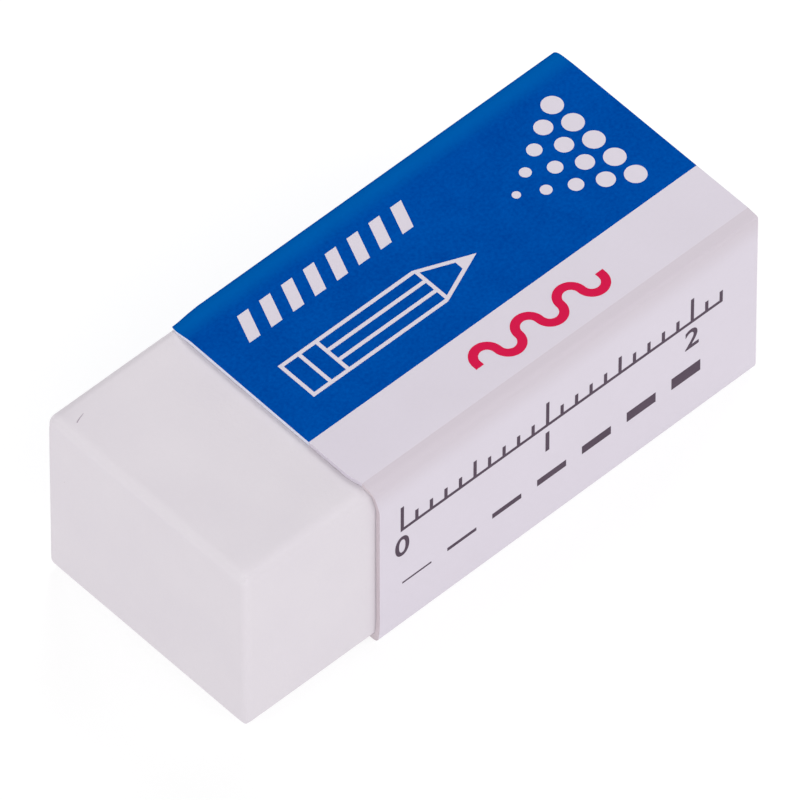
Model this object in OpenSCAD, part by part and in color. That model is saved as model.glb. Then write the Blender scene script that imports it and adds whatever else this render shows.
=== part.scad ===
// Block eraser in a folded paperboard sleeve.
// X runs along the eraser, with the bare tip at -X. Z is up.
// The near side of the sleeve is at -Y and its glued lap is on the underside.
// The origin is on the surface that the sleeve stands on, under the middle.

/* [Eraser block] */
// Length of the block
block_l = 34.8; // [30:0.1:60]
// Width of the block
block_w = 14.75; // [13:0.05:28]
// Height of the block
block_h = 11.65; // [10:0.05:20]
// Radius of the edges round the top face
top_edge_r = 0.65; // [0.4:0.05:1.5]
// Radius of the four upright edges
upright_edge_r = 0.35; // [0.2:0.05:1.5]
// Radius of the edges round the underside
base_edge_r = 0.2; // [0.1:0.05:1]

/* [Sleeve] */
// Length of the sleeve
sleeve_l = 26.55; // [22:0.05:29]
// How far the block's back end lies inside the sleeve's back edge
end_recess = 0.2; // [0:0.05:1]
// Thickness of the paperboard
board_t = 0.2; // [0.15:0.01:0.4]
// Clearance between the board and the block, on every face
slip = 0.08; // [0.05:0.01:0.2]
// Angle at which the board breaks down along the crease at the near side of the top
crease_turn = 23; // [10:1:40]
// Outside radius of the bend between the crease and the near side
bend_r = 0.45; // [0.42:0.01:0.6]
// How far the near side and the bottom panel stop short of the top panel at the mouth
set_back = 0.45; // [0.1:0.05:1]
// Width of the glue flap, from the far side's inner face
flap_w = 8; // [4:0.1:11]
// Gap between the far fold and the cut edge of the bottom panel
seam_gap = 0.5; // [0.2:0.05:1.5]

/* [Printed fields] */
// How far the ink stands out from the board
ink_t = 0.02; // [0.01:0.005:0.04]
// Width of the white strip along the near edge of the top
white_strip_w = 4.55; // [4:0.05:6]
// Clear space between the printed marks and the sleeve's cut edges
mark_margin = 2.05; // [1.5:0.05:3]
// Width of a printed outline
line_w = 0.22; // [0.15:0.01:0.35]

/* [Pencil figure] */
// Length of the pencil from its cap to its point
pencil_l = 12.4; // [8:0.1:16]
// Width of the pencil across its barrel
pencil_w = 2.7; // [1.8:0.1:4]
// Length of the sharpened cone
cone_l = 3.2; // [2.4:0.1:4]
// Length of the bare lead at the point
lead_l = 1.2; // [0.9:0.1:1.4]
// Length of the cap and of the ferrule, each
ferrule_l = 1.2; // [0.8:0.1:2]
// Distance from the white strip to the pencil's axis
pencil_rise = 3.35; // [2.5:0.05:5]

/* [Dashes and dots] */
// Height of the row of slanting dashes
dash_h = 1.7; // [1:0.1:2.2]
// Width of one dash
dash_w = 0.75; // [0.4:0.05:1.2]
// Spacing of the dashes
dash_pitch = 1.5; // [1.3:0.05:2.5]
// Sideways lean of a dash over its height
dash_lean = 0.7; // [0:0.05:1.2]
// Number of dashes
dash_count = 8; // [2:1:9]
// Distance from the far fold to the row of dashes
dash_drop = 1.35; // [1:0.05:2]
// Width of the band across the blue field that the dots fill
dot_field = 7.5; // [4:0.1:7.6]
// Spacing of the dots
dot_pitch = 1.55; // [1.4:0.05:2.5]
// Radius of the largest dots, beside the back edge
dot_r = 0.6; // [0.4:0.05:0.65]
// Share of the largest radius that each further column loses
dot_fade = 0.15; // [0.05:0.01:0.18]

/* [Red wave] */
// Number of half turns in the wave
wave_turns = 6; // [2:1:8]
// Radius of the middle of each half turn
wave_r = 0.72; // [0.5:0.02:0.9]
// Width of the wave's stroke
wave_w = 0.52; // [0.3:0.02:0.7]
// Distance from the mouth of the sleeve to the wave
wave_start = 9.5; // [5:0.1:10]
// Distance from the blue field to the middle line of the wave
wave_drop = 2; // [1.5:0.05:2.5]

/* [Side scale] */
// Spacing of the ticks
tick_pitch = 1; // [1:0.5:2]
// Height of the single ticks
tick_h = 0.9; // [0.5:0.05:1.2]
// Height of every fifth tick
fifth_tick_h = 1.4; // [1:0.05:1.7]
// Height of every tenth tick
tenth_tick_h = 1.9; // [1.5:0.05:2.4]
// Distance from the top face down to the foot of the ticks
scale_drop = 4.7; // [3.5:0.1:5.2]
// Height of the row of line weights above the underside
weight_rise = 3.4; // [2:0.1:3.8]
// Spacing of the line weights
weight_pitch = 3.1; // [2.5:0.1:4]
// Length of one line weight
weight_l = 2; // [1:0.1:2.3]
// Thickness of the lightest line, by which each further one is thicker
weight_t = 0.12; // [0.06:0.01:0.14]

/* [Hidden] */
$fn = 64;

eraser_white = [0.87, 0.85, 0.87];
board_white = [0.85, 0.83, 0.87];
field_blue = [0.01, 0.29, 0.63];
wave_red = [0.81, 0.1, 0.28];
mark_grey = [0.36, 0.3, 0.36];

// The sleeve follows the block. Its far folds are concentric with the block's edges, and the
// fold under the near side is wider by the flap that the bottom panel passes under. The straight
// run after the crease touches the arc that a fold concentric with the block's edge would have.
fold_r = top_edge_r + slip + board_t;
far_foot_r = base_edge_r + slip + board_t;
foot_r = far_foot_r + board_t;
crease_in = fold_r * (1 - tan(crease_turn / 2));
half_w = block_w / 2 + slip + board_t;
block_bottom = 2 * board_t + slip;
top = block_bottom + block_h + slip + board_t;

overall_l = block_l + end_recess;
tip_x = -overall_l / 2;
back_x = overall_l / 2;
mouth_x = back_x - sleeve_l;

border_y = white_strip_w - half_w;
far_fold_y = half_w - fold_r;
seam_y = far_fold_y - seam_gap;
flap_edge_y = half_w - board_t - flap_w;
past = 1;

// A filled rectangle about the origin. Its two upper and two lower corners have their own radii.
module round_rect(w, h, upper_r, lower_r) {
    for (side = [[1, upper_r], [-1, lower_r]])
        mirror([0, side[0] < 0 ? 1 : 0]) {
            r = side[1];
            translate([-w / 2, -h / 4]) square([w, 3 * h / 4 - r]);
            translate([r - w / 2, 0]) square([w - 2 * r, h / 2]);
            for (y = [-1, 1]) translate([y * (w / 2 - r), h / 2 - r]) circle(r);
        }
}

// The block is cut to length from a bar, then every edge is rounded. It is the common part of
// three bars that have its outlines from the end, from the side and from above.
module eraser_block() {
    color(eraser_white)
    translate([tip_x + block_l / 2, 0, block_bottom + block_h / 2])
    intersection() {
        rotate([90, 0, 90]) linear_extrude(block_l, center = true)
            round_rect(block_w, block_h, top_edge_r, base_edge_r);
        rotate([90, 0, 0]) linear_extrude(block_w, center = true)
            round_rect(block_l, block_h, top_edge_r, base_edge_r);
        linear_extrude(block_h, center = true)
            round_rect(block_l, block_w, upright_edge_r, upright_edge_r);
    }
}

// Filled section of the sleeve in the YZ plane, standing on floor_z and inset from its outer
// faces. The corners' centres and tangent points are joined up and each bend is a circle. At the
// near top the board breaks down at the crease and runs straight until it meets its bend.
module tube(floor_z, inset) {
    near = inset - half_w;
    far = half_w - inset;
    low = floor_z + inset;
    high = top - inset;
    bend = bend_r - inset;
    foot = foot_r - inset;
    fold = fold_r - inset;
    far_foot = far_foot_r - inset;
    // A parallel line meets the inset top this much nearer to the inset side
    break_in = crease_in - inset * (1 - tan(crease_turn / 2));
    facet_l = (break_in - bend * (1 - sin(crease_turn))) / cos(crease_turn);
    bend_z = high - facet_l * sin(crease_turn) - bend * cos(crease_turn);
    polygon([
        [near, low + foot], [near + foot, low],
        [far - far_foot, low], [far, low + far_foot],
        [far, high - fold], [far - fold, high],
        [near + break_in, high],
        [near + bend * (1 - sin(crease_turn)), bend_z + bend * cos(crease_turn)],
        [near, bend_z]
    ]);
    translate([near + foot, low + foot]) circle(foot);
    translate([far - far_foot, low + far_foot]) circle(far_foot);
    translate([far - fold, high - fold]) circle(fold);
    translate([near + bend, bend_z]) circle(bend);
}

// Half of the section's plane: all that lies on the near side of y
module near_side_of(y) {
    translate([y - 2 * half_w - past, -past]) square([2 * half_w + past, top + 2 * past]);
}

// The folded sheet. The flap comes off the far side one board higher than the bottom panel,
// which is glued under it and stops short of the far fold.
module board_section() {
    difference() {
        union() {
            tube(board_t, 0);
            intersection() {
                tube(0, 0);
                near_side_of(seam_y);
            }
        }
        tube(board_t, board_t);
        intersection() {
            tube(0, board_t);
            near_side_of(flap_edge_y);
        }
    }
}

// Ink on the outside of the top and the far side, from the white strip to the bottom panel's
// edge. It soaks in as deep as it stands out, as all the ink does.
module field_section() {
    difference() {
        tube(board_t, -ink_t);
        tube(board_t, ink_t);
        near_side_of(border_y);
        intersection() {
            near_side_of(seam_y);
            translate([-half_w - past, -past]) square([2 * (half_w + past), top / 2]);
        }
    }
}

// Lays a YZ section along the sleeve
module along_sleeve() {
    translate([mouth_x, 0, 0]) rotate([90, 0, 90]) linear_extrude(sleeve_l) children();
}

// What the sheet's outline leaves out at the mouth. The near side, the fold under it and the
// bottom panel are cut back. The cut runs out round the bend, just short of the crease.
module mouth_relief() {
    run_out = crease_in - board_t / 2;
    translate([mouth_x, -half_w, 0]) {
        linear_extrude(top + past)
            polygon([
                [-past, -past], [set_back, -past], [set_back, bend_r / 2], [0, run_out],
                [-past, run_out]
            ]);
        translate([-past, -past, -past])
            cube([past + set_back, past + 2 * foot_r, past + 2 * board_t]);
        translate([-past, -past, -past])
            cube([past + set_back, past + half_w + seam_y, past + board_t]);
    }
}

// A pencil along X, drawn in outline, with the middle of its cap end at the origin.
// It is a filled outline less the panes between its lines.
module pencil() {
    r = pencil_w / 2;
    cone_x = pencil_l - cone_l;
    lead_x = pencil_l - lead_l;
    barrel_x = 2 * ferrule_l;
    pane_w = (pencil_w - 4 * line_w) / 3;
    side_w = line_w * norm([r, cone_l]) / cone_l;
    function cone_half(x) = r * (pencil_l - x) / cone_l - side_w;
    difference() {
        polygon([[0, -r], [cone_x, -r], [pencil_l, 0], [cone_x, r], [0, r]]);
        for (x = [0, ferrule_l])
            translate([x + line_w, line_w - r])
                square([ferrule_l - line_w, pencil_w - 2 * line_w]);
        for (i = [0:2])
            translate([barrel_x + line_w, line_w - r + i * (pane_w + line_w)])
                square([cone_x - barrel_x - line_w, pane_w]);
        polygon([
            [cone_x + line_w, -cone_half(cone_x + line_w)],
            [lead_x, -cone_half(lead_x)],
            [lead_x, cone_half(lead_x)],
            [cone_x + line_w, cone_half(cone_x + line_w)]
        ]);
    }
}

module dashes() {
    for (i = [0:dash_count - 1])
        translate([i * dash_pitch, 0])
            polygon([[0, 0], [dash_w, 0], [dash_w + dash_lean, dash_h], [dash_lean, dash_h]]);
}

// A triangle of dots that shrink away from the back edge. Its corner of largest dots
// touches the lines x = 0 and y = 0.
module dots() {
    rows = floor((dot_field - 2 * dot_r) / dot_pitch) + 1;
    for (column = [0:rows - 1])
        for (row = [0:rows - 1 - column])
            translate([
                -dot_r - column * dot_pitch * sin(60),
                -dot_r - (row + column / 2) * dot_pitch
            ])
                circle(dot_r * (1 - column * dot_fade));
}

// A ribbon of half rings, turned alternately up and down, with round ends
module wave() {
    for (i = [0:wave_turns - 1])
        translate([(2 * i + 1) * wave_r, 0])
            mirror([0, i % 2])
                difference() {
                    circle(wave_r + wave_w / 2);
                    circle(wave_r - wave_w / 2);
                    translate([-2 * wave_r, -2 * wave_r]) square([4 * wave_r, 2 * wave_r]);
                }
    for (x = [0, 2 * wave_r * wave_turns])
        translate([x, 0]) circle(wave_w / 2);
}

// White figures left free of ink in the blue field, seen from above
module field_figures() {
    translate([mouth_x + mark_margin, border_y + pencil_rise]) pencil();
    translate([mouth_x + mark_margin, far_fold_y - dash_drop - dash_h]) dashes();
    translate([back_x - mark_margin, far_fold_y - dash_drop]) dots();
}

// A scale over a row of line weights, as seen from the near side
module side_marks() {
    ticks = floor((sleeve_l - 2 * mark_margin) / tick_pitch);
    weights = floor((sleeve_l - 2 * mark_margin) / weight_pitch);
    translate([-line_w / 2, top - scale_drop - line_w / 2]) {
        square([ticks * tick_pitch + line_w, line_w]);
        for (i = [0:ticks])
            translate([i * tick_pitch, 0])
                square([line_w, i % 10 == 0 ? tenth_tick_h : i % 5 == 0 ? fifth_tick_h : tick_h]);
    }
    for (i = [0:weights - 1])
        translate([i * weight_pitch, weight_rise]) square([weight_l, (i + 1) * weight_t]);
}

module paper_sleeve() {
    color(board_white) difference() {
        along_sleeve() board_section();
        mouth_relief();
    }
    color(field_blue) difference() {
        along_sleeve() field_section();
        translate([0, 0, top - past]) linear_extrude(2 * past) field_figures();
    }
    color(wave_red)
        translate([mouth_x + wave_start, border_y - wave_drop, top])
            linear_extrude(2 * ink_t, center = true) wave();
    color(mark_grey)
        translate([mouth_x + mark_margin, -half_w, 0])
            rotate([90, 0, 0]) linear_extrude(2 * ink_t, center = true) side_marks();
}

eraser_block();
paper_sleeve();
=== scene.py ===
# %% [markdown]
# # A block eraser in a paper sleeve
#
# A block eraser is a bar of soft white vinyl with a sheet of printed board folded round it.
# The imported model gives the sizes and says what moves: the sleeve slides along the block.
# This lesson dresses that model. The block and the folded sheet are modelled again with the
# small things a maker would notice, and the print is laid on the board as thin films of ink.

from math import cos, pi, radians, sin, tan

import bmesh
import bpy
import numpy as np
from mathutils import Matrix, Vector, noise


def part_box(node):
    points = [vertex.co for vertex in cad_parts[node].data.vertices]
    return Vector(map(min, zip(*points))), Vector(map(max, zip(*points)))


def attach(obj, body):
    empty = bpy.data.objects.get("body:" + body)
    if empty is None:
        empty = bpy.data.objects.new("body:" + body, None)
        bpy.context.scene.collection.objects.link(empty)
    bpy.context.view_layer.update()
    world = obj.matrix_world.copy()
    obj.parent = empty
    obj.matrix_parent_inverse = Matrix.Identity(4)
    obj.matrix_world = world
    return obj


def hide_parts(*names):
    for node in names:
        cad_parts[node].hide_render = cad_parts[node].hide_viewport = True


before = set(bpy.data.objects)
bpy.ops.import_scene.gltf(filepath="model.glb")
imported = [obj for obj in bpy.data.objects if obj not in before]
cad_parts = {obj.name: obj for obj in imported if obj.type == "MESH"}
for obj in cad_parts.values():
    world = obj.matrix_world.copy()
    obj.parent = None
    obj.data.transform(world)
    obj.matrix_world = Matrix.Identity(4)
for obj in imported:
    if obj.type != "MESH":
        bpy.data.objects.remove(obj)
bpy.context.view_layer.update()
MM = 0.001

block_low, block_high = (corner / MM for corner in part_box("eraser_block"))
sleeve_low, sleeve_high = (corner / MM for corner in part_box("paper_sleeve"))
print("block, mm:", block_low, block_high)
print("sleeve, mm:", sleeve_low, sleeve_high)

# %% [markdown]
# ## Sizes of the board
#
# Every length below is in millimetres and is turned into metres only when a mesh is made. The
# sheet, its clearance and its folds are the ones that the solid has. The print stands out from
# the board by a film of ink, so the board's own faces lie that much inside the sleeve's box.

# %% Sizes that the folded sheet takes from the frame
INK = 0.02
BOARD = 0.2
SLIP = 0.08
TOP_EDGE, UPRIGHT_EDGE, BASE_EDGE = 0.65, 0.35, 0.2
FOLD = TOP_EDGE + SLIP + BOARD
FAR_FOOT = BASE_EDGE + SLIP + BOARD
FOOT = FAR_FOOT + BOARD
CREASE_TURN = radians(23)
CREASE_IN = FOLD * (1 - tan(CREASE_TURN / 2))
SET_BACK = 0.5
TOP = sleeve_high.z - INK
HALF_W = sleeve_high.y - INK
MOUTH = sleeve_low.x
BACK = sleeve_high.x
CREASE_Y = CREASE_IN - HALF_W
FAR_Y = HALF_W - FOLD
STRIP_W = 4.55
BORDER_Y = STRIP_W - HALF_W
SEAM_IN = 0.5
SEAM_Y = FAR_Y - SEAM_IN
FLAP_W = 8
FLAP_EDGE_Y = HALF_W - BOARD - FLAP_W
print("board's top", round(TOP, 3), "half width", round(HALF_W, 3), "mouth", round(MOUTH, 3))


# %% Helpers that turn points into pieces
def link(thing):
    bpy.context.scene.collection.objects.link(thing)
    return thing


def piece_from(name, points_mm, faces, materials, face_materials=None):
    mesh = bpy.data.meshes.new(name)
    mesh.from_pydata([tuple(c * MM for c in p) for p in points_mm], [], faces)
    for material in materials:
        mesh.materials.append(material)
    if face_materials is not None:
        mesh.polygons.foreach_set("material_index", face_materials)
    return link(bpy.data.objects.new(name, mesh))


def face_outwards(piece, smooth_below):
    """Turns every face of a closed shell outwards and keeps edges sharper than smooth_below."""
    shell = bmesh.new()
    shell.from_mesh(piece.data)
    bmesh.ops.recalc_face_normals(shell, faces=shell.faces)
    shell.to_mesh(piece.data)
    shell.free()
    piece.data.shade_smooth()
    piece.data.set_sharp_from_angle(angle=smooth_below)
    print(piece.name, len(piece.data.polygons), "faces")


# %% [markdown]
# ## Shader groups
#
# Paper, ink and vinyl all have the same kind of unevenness: a fine grain, and soft clouds a few
# millimetres wide where the surface is a little lighter or duller. One node group makes both
# from the object's own coordinates. It puts out a tone for colour and roughness, and a height
# for the bump. Each material gives it its own sizes.


# %% A small kit for building node trees
def connect(tree, node, inputs):
    """Gives each named or numbered input a value, a socket, or a node's first output."""
    for key, value in dict(inputs).items():
        if isinstance(value, bpy.types.Node):
            value = value.outputs[0]
        if isinstance(value, bpy.types.NodeSocket):
            tree.links.new(value, node.inputs[key])
        else:
            node.inputs[key].default_value = value


def add(tree, kind, inputs=(), **settings):
    """Adds a node with its settings and connects its inputs."""
    node = tree.nodes.new(kind)
    for name, value in settings.items():
        setattr(node, name, value)
    connect(tree, node, inputs)
    return node


def new_group(name, kind, inputs, outputs):
    """Makes a node group from (socket name, socket type, default) rows."""
    tree = bpy.data.node_groups.new(name, kind)
    for label, socket_type, default in inputs:
        socket = tree.interface.new_socket(name=label, in_out="INPUT", socket_type=socket_type)
        if default is not None:
            socket.default_value = default
    for label, socket_type in outputs:
        tree.interface.new_socket(name=label, in_out="OUTPUT", socket_type=socket_type)
    return tree, tree.nodes.new("NodeGroupInput").outputs, tree.nodes.new("NodeGroupOutput")


# %% The grain group
grain, given, out = new_group(
    "grain and clouds",
    "ShaderNodeTree",
    [
        ("Grains per mm", "NodeSocketFloat", 6.0),
        ("Stretch", "NodeSocketFloat", 1.0),
        ("Clouds per mm", "NodeSocketFloat", 0.3),
        ("Cloud share", "NodeSocketFloat", 0.5),
    ],
    [("Tone", "NodeSocketFloat"), ("Height", "NodeSocketFloat")],
)
place = add(grain, "ShaderNodeTexCoord").outputs["Object"]
in_mm = add(grain, "ShaderNodeVectorMath", {0: place, "Scale": 1 / MM}, operation="SCALE")
pulled = add(grain, "ShaderNodeCombineXYZ", {"X": given["Stretch"], "Y": 1.0, "Z": 1.0})
along = add(grain, "ShaderNodeVectorMath", {0: in_mm, 1: pulled}, operation="MULTIPLY")
fine = add(grain, "ShaderNodeTexNoise", {
    "Vector": along, "Scale": given["Grains per mm"], "Detail": 4.0, "Roughness": 0.6,
})
clouds = add(grain, "ShaderNodeTexNoise", {
    "Vector": in_mm, "Scale": given["Clouds per mm"], "Detail": 2.0,
})
mixed = add(grain, "ShaderNodeMix", {"Factor": given["Cloud share"], "A": fine, "B": clouds})
spread = add(grain, "ShaderNodeMapRange", {"Value": mixed, "From Min": 0.3, "From Max": 0.7})
connect(grain, out, {"Tone": spread, "Height": fine})
print("group:", grain.name, len(grain.nodes), "nodes")


# %% [markdown]
# ## Materials
#
# - The vinyl is matt and faintly uneven, as soft plastic is where it has been handled.
# - The board is coated on its printed side, so it is smooth with a low sheen, and bare inside.
# - Blue, red and grey are inks on the same coating. The blue is laid on solid and shows small
#   changes of density.
# - The cut edge is pressed fibre. It is white along the top panel and greyer round the rest,
#   partly for its bare core and partly as painted shade where it meets the block.
#
# All of them are one recipe with different values.


# %% One recipe for every finish
def blend(tree, share, first, second):
    """A mix of two colours, each a value or a socket. Inputs 6 and 7 are the node's colours."""
    inputs = {"Factor": share, 6: first, 7: second}
    return add(tree, "ShaderNodeMix", inputs, data_type="RGBA").outputs[2]


def finish(name, light, dark, roughness, grains, clouds=0.3, cloud_share=0.5, relief=0.0,
           stretch=1.0, shine=0.5, painted_light_colour=None, mask="wear"):
    """A grained material: two colours, two roughnesses and the depth of its grain in mm.

    Where the mesh has the attribute named by mask, it leads over to a second colour. This paints
    light and shade onto the surface: a highlight on the vinyl, shade on the board, a sheen on the
    blue, and shade together with the grey of the bare core on the cut edge.
    """
    material = bpy.data.materials.new(name)
    material.use_nodes = True
    tree = material.node_tree
    shader = tree.nodes["Principled BSDF"]
    parts = add(tree, "ShaderNodeGroup", {
        "Grains per mm": grains, "Stretch": stretch,
        "Clouds per mm": clouds, "Cloud share": cloud_share,
    }, node_tree=grain)
    colour = blend(tree, parts.outputs["Tone"], (*dark, 1), (*light, 1))
    if painted_light_colour:
        painted_light_share = add(tree, "ShaderNodeAttribute", attribute_name=mask).outputs["Fac"]
        colour = blend(tree, painted_light_share, colour, (*painted_light_colour, 1))
    dull = add(tree, "ShaderNodeMapRange", {
        "Value": parts.outputs["Tone"], "To Min": roughness[1], "To Max": roughness[0],
    })
    connect(tree, shader, {"Base Color": colour, "Roughness": dull, "Specular IOR Level": shine})
    if relief:
        bump = add(tree, "ShaderNodeBump",
                   {"Height": parts.outputs["Height"], "Distance": relief * MM})
        connect(tree, shader, {"Normal": bump})
    print("material:", name)
    return material


# The vinyl's second colour is a painted highlight on the rounded edges at its ends.
vinyl = finish("vinyl", (0.70, 0.655, 0.70), (0.68, 0.635, 0.685), (0.5, 0.6),
               grains=5, clouds=0.25, cloud_share=0.7, relief=0.01,
               painted_light_colour=(0.738, 0.693, 0.738), mask="painted_edge_highlight")
# The board's second colour is painted shade under the near crease.
board_white = finish("coated_board", (0.67, 0.62, 0.70), (0.655, 0.605, 0.68), (0.42, 0.5),
                     grains=7, clouds=0.3, relief=0.004, stretch=0.5, shine=0.2,
                     painted_light_colour=(0.6, 0.54, 0.6))
# The blue's second colour is a paler painted sheen along the far fold.
ink_blue = finish("blue_ink", (0.0, 0.084, 0.41), (0.0, 0.05, 0.303), (0.3, 0.38),
                  grains=5, clouds=0.5, cloud_share=0.3, relief=0.003, shine=0.0,
                  painted_light_colour=(0.0, 0.11, 0.42))
ink_red = finish("red_ink", (0.65, 0.014, 0.073), (0.62, 0.011, 0.066), (0.36, 0.44),
                 grains=9, clouds=0.5, relief=0.003, shine=0.0)
ink_grey = finish("grey_ink", (0.1, 0.07, 0.1), (0.08, 0.055, 0.08), (0.4, 0.5),
                  grains=9, clouds=0.5, relief=0.003, shine=0.05)
board_inside = finish("bare_board", (0.56, 0.53, 0.54), (0.5, 0.47, 0.48), (0.8, 0.9),
                      grains=5, clouds=0.6, cloud_share=0.4, relief=0.02, stretch=0.4)
# The cut edge's second colour, off the top panel, is partly its bare grey core and partly painted
# shade where the edge meets the block.
board_cut = finish("cut_edge", (0.76, 0.78, 0.9), (0.7, 0.72, 0.84), (0.8, 0.9),
                   grains=14, clouds=1.2, cloud_share=0.3, relief=0.02,
                   painted_light_colour=(0.63, 0.55, 0.59), mask="bare edge")
soil = finish("soil", (0.44, 0.38, 0.44), (0.36, 0.3, 0.36), (0.7, 0.8), grains=20)

# %% [markdown]
# ## The block
#
# The block is cut from an extruded bar, so it is a box whose edges are all rounded: softly
# round the top, less at the upright edges, and hardly at all where it stood on the cutting
# table. A bevel would do, but every vertex can be placed directly instead. Seen along one
# axis, each corner of a box is a small square. It is turned into a quarter disc when every
# point is drawn in along its ray, by the ratio of the square's reach to the disc's. Doing this
# once along each axis rounds all the edges, and the corners come out by themselves. The edges
# between the ends and the top and bottom get a painted highlight: an attribute makes them a
# little paler.

# %% Rows of vertices along one side of the box, close together near its edges
EDGE_ROWS = [0, 0.02, 0.05, 0.09, 0.14, 0.2, 0.27, 0.35, 0.44, 0.54, TOP_EDGE]
ROW_STEP = 0.9


def rows_between(low, high):
    start, end = low + EDGE_ROWS[-1], high - EDGE_ROWS[-1]
    count = max(2, round((end - start) / ROW_STEP))
    flat = [start + (end - start) * i / count for i in range(1, count)]
    return [*(low + d for d in EDGE_ROWS), *flat, *(high - d for d in reversed(EDGE_ROWS))]


print("rows along the block:", len(rows_between(block_low.x, block_high.x)))

# %% Rounding, and the slight hollow of a moulded face
HOLLOW = 0.03
UNEVEN, UNEVEN_PER_MM = 0.012, 0.35
SMOOTHINGS = 6
MIDDLE = (block_low + block_high) / 2
HALF = (block_high - block_low) / 2


def round_off(point, a, b, radius):
    """Turns the square corner of the box, seen along the third axis, into a quarter disc."""
    over = []
    for axis in (a, b):
        side = 1 if point[axis] > MIDDLE[axis] else -1
        reach = abs(point[axis] - MIDDLE[axis]) - (HALF[axis] - radius)
        over.append((axis, side, reach))
    (_, _, p), (_, _, q) = over
    if p <= 0 or q <= 0:
        return
    shrink = max(p, q) / (p * p + q * q) ** 0.5
    for axis, side, reach in over:
        point[axis] = MIDDLE[axis] + side * (HALF[axis] - radius + reach * shrink)


def on_block(plain):
    """The point of the soft block under a point of the plain box round it."""
    point = plain.copy()
    level_edge = TOP_EDGE if plain.z > MIDDLE.z else BASE_EDGE
    round_off(point, 0, 1, UPRIGHT_EDGE)
    round_off(point, 0, 2, level_edge)
    round_off(point, 1, 2, level_edge)
    core = Vector(
        min(max(c, m - h + TOP_EDGE), m + h - TOP_EDGE) for c, m, h in zip(point, MIDDLE, HALF)
    )
    out_of = (point - core).normalized()
    across = [1 - ((plain[a] - MIDDLE[a]) / HALF[a]) ** 2 for a in range(3)]
    hollow = sum(
        HOLLOW * abs(out_of[a]) ** 8 * across[(a + 1) % 3] * across[(a + 2) % 3]
        for a in range(3)
    )
    swell = UNEVEN * (0.5 + 0.5 * noise.noise(plain * UNEVEN_PER_MM))
    return point - out_of * (hollow + swell)


def soften_corners(piece):
    """Evens out the three roundings where they meet at the block's eight corners."""
    shape = bmesh.new()
    shape.from_mesh(piece.data)
    corners = [
        v for v in shape.verts
        if all(abs(v.co[a] / MM - MIDDLE[a]) > HALF[a] - TOP_EDGE for a in range(3))
    ]
    for _ in range(SMOOTHINGS):
        bmesh.ops.smooth_vert(shape, verts=corners, factor=0.5, use_axis_x=True,
                              use_axis_y=True, use_axis_z=True)
    shape.to_mesh(piece.data)
    shape.free()


def rounded_block(name, material):
    rows = [rows_between(block_low[a], block_high[a]) for a in range(3)]
    index, points, faces = {}, [], []

    def vertex(key):
        if key not in index:
            index[key] = len(points)
            points.append(on_block(Vector(rows[a][key[a]] for a in range(3))))
        return index[key]

    for a in range(3):
        b, c = (a + 1) % 3, (a + 2) % 3
        for side in (0, len(rows[a]) - 1):
            for i in range(len(rows[b]) - 1):
                for j in range(len(rows[c]) - 1):
                    corners = []
                    for di, dj in ((0, 0), (1, 0), (1, 1), (0, 1)):
                        key = [0, 0, 0]
                        key[a], key[b], key[c] = side, i + di, j + dj
                        corners.append(vertex(tuple(key)))
                    faces.append(corners)
    return piece_from(name, points, faces, [material])


block = rounded_block("vinyl_block", vinyl)
soften_corners(block)
face_outwards(block, radians(60))
# Painted highlight: the edges between the ends and the top and bottom are made a little paler.
painted_edge_highlight = [2 * abs(v.normal.x * v.normal.z) for v in block.data.vertices]
block.data.attributes.new("painted_edge_highlight", "FLOAT", "POINT").data.foreach_set("value", painted_edge_highlight)
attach(block, "eraser")
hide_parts("eraser_block")

# %% [markdown]
# ## The folded sheet
#
# The sleeve is one sheet of board. Its path starts at the cut edge of the bottom panel, runs
# under the block, up the near side, over the top, down the far side, and ends as a flap that is
# glued on top of the bottom panel. These things make it look like folded board:
#
# - the near top fold is scored, so it breaks at a crisp crease and only then bends round;
# - the far fold isn't scored, and the top panel already rolls down a little before it;
# - the panels between the folds give a little and bow inwards, most of all at mid-length;
# - the folds aren't even: towards the back the crease gets tighter and the near foot rounder;
# - at the mouth the sides and the bottom are cut shorter than the top, the board swells until
#   it nearly grips the block, and the far fold is pressed thinner.
#
# A flat sheet with bones or a Solidify modifier could be folded too, but its wall would be left
# to the modifier. Here the path is a list of stations. Each is made twice, once for the outer
# face and once for the inner, so the wall is known at every fold. Both are repeated along the
# sleeve, where the sizes of the folds can change.

# %% Stations of the sheet's path
# The radii of three folds and the crease's turn, at the mouth and at the back.
BENDS = (0.75, 0.16)
TURNS = (CREASE_TURN, radians(7))
FEET = (0.4, 0.78)
FAR_FOLDS = (FOLD, 0.84)
# How far the crease's own corner is eased, and how the top rolls down before the far fold.
CREASE_EASE = 0.03
ROLL_W = 1.1
ROLL_SAG = 0.055
ROLL_TURN = radians(6)
# The stations are close together this far below the bend, where the cut edge and the painted shade
# change most.
CLOSE_STATIONS = 1.6
BLUE_UNDER_SEAM = 0.4


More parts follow.
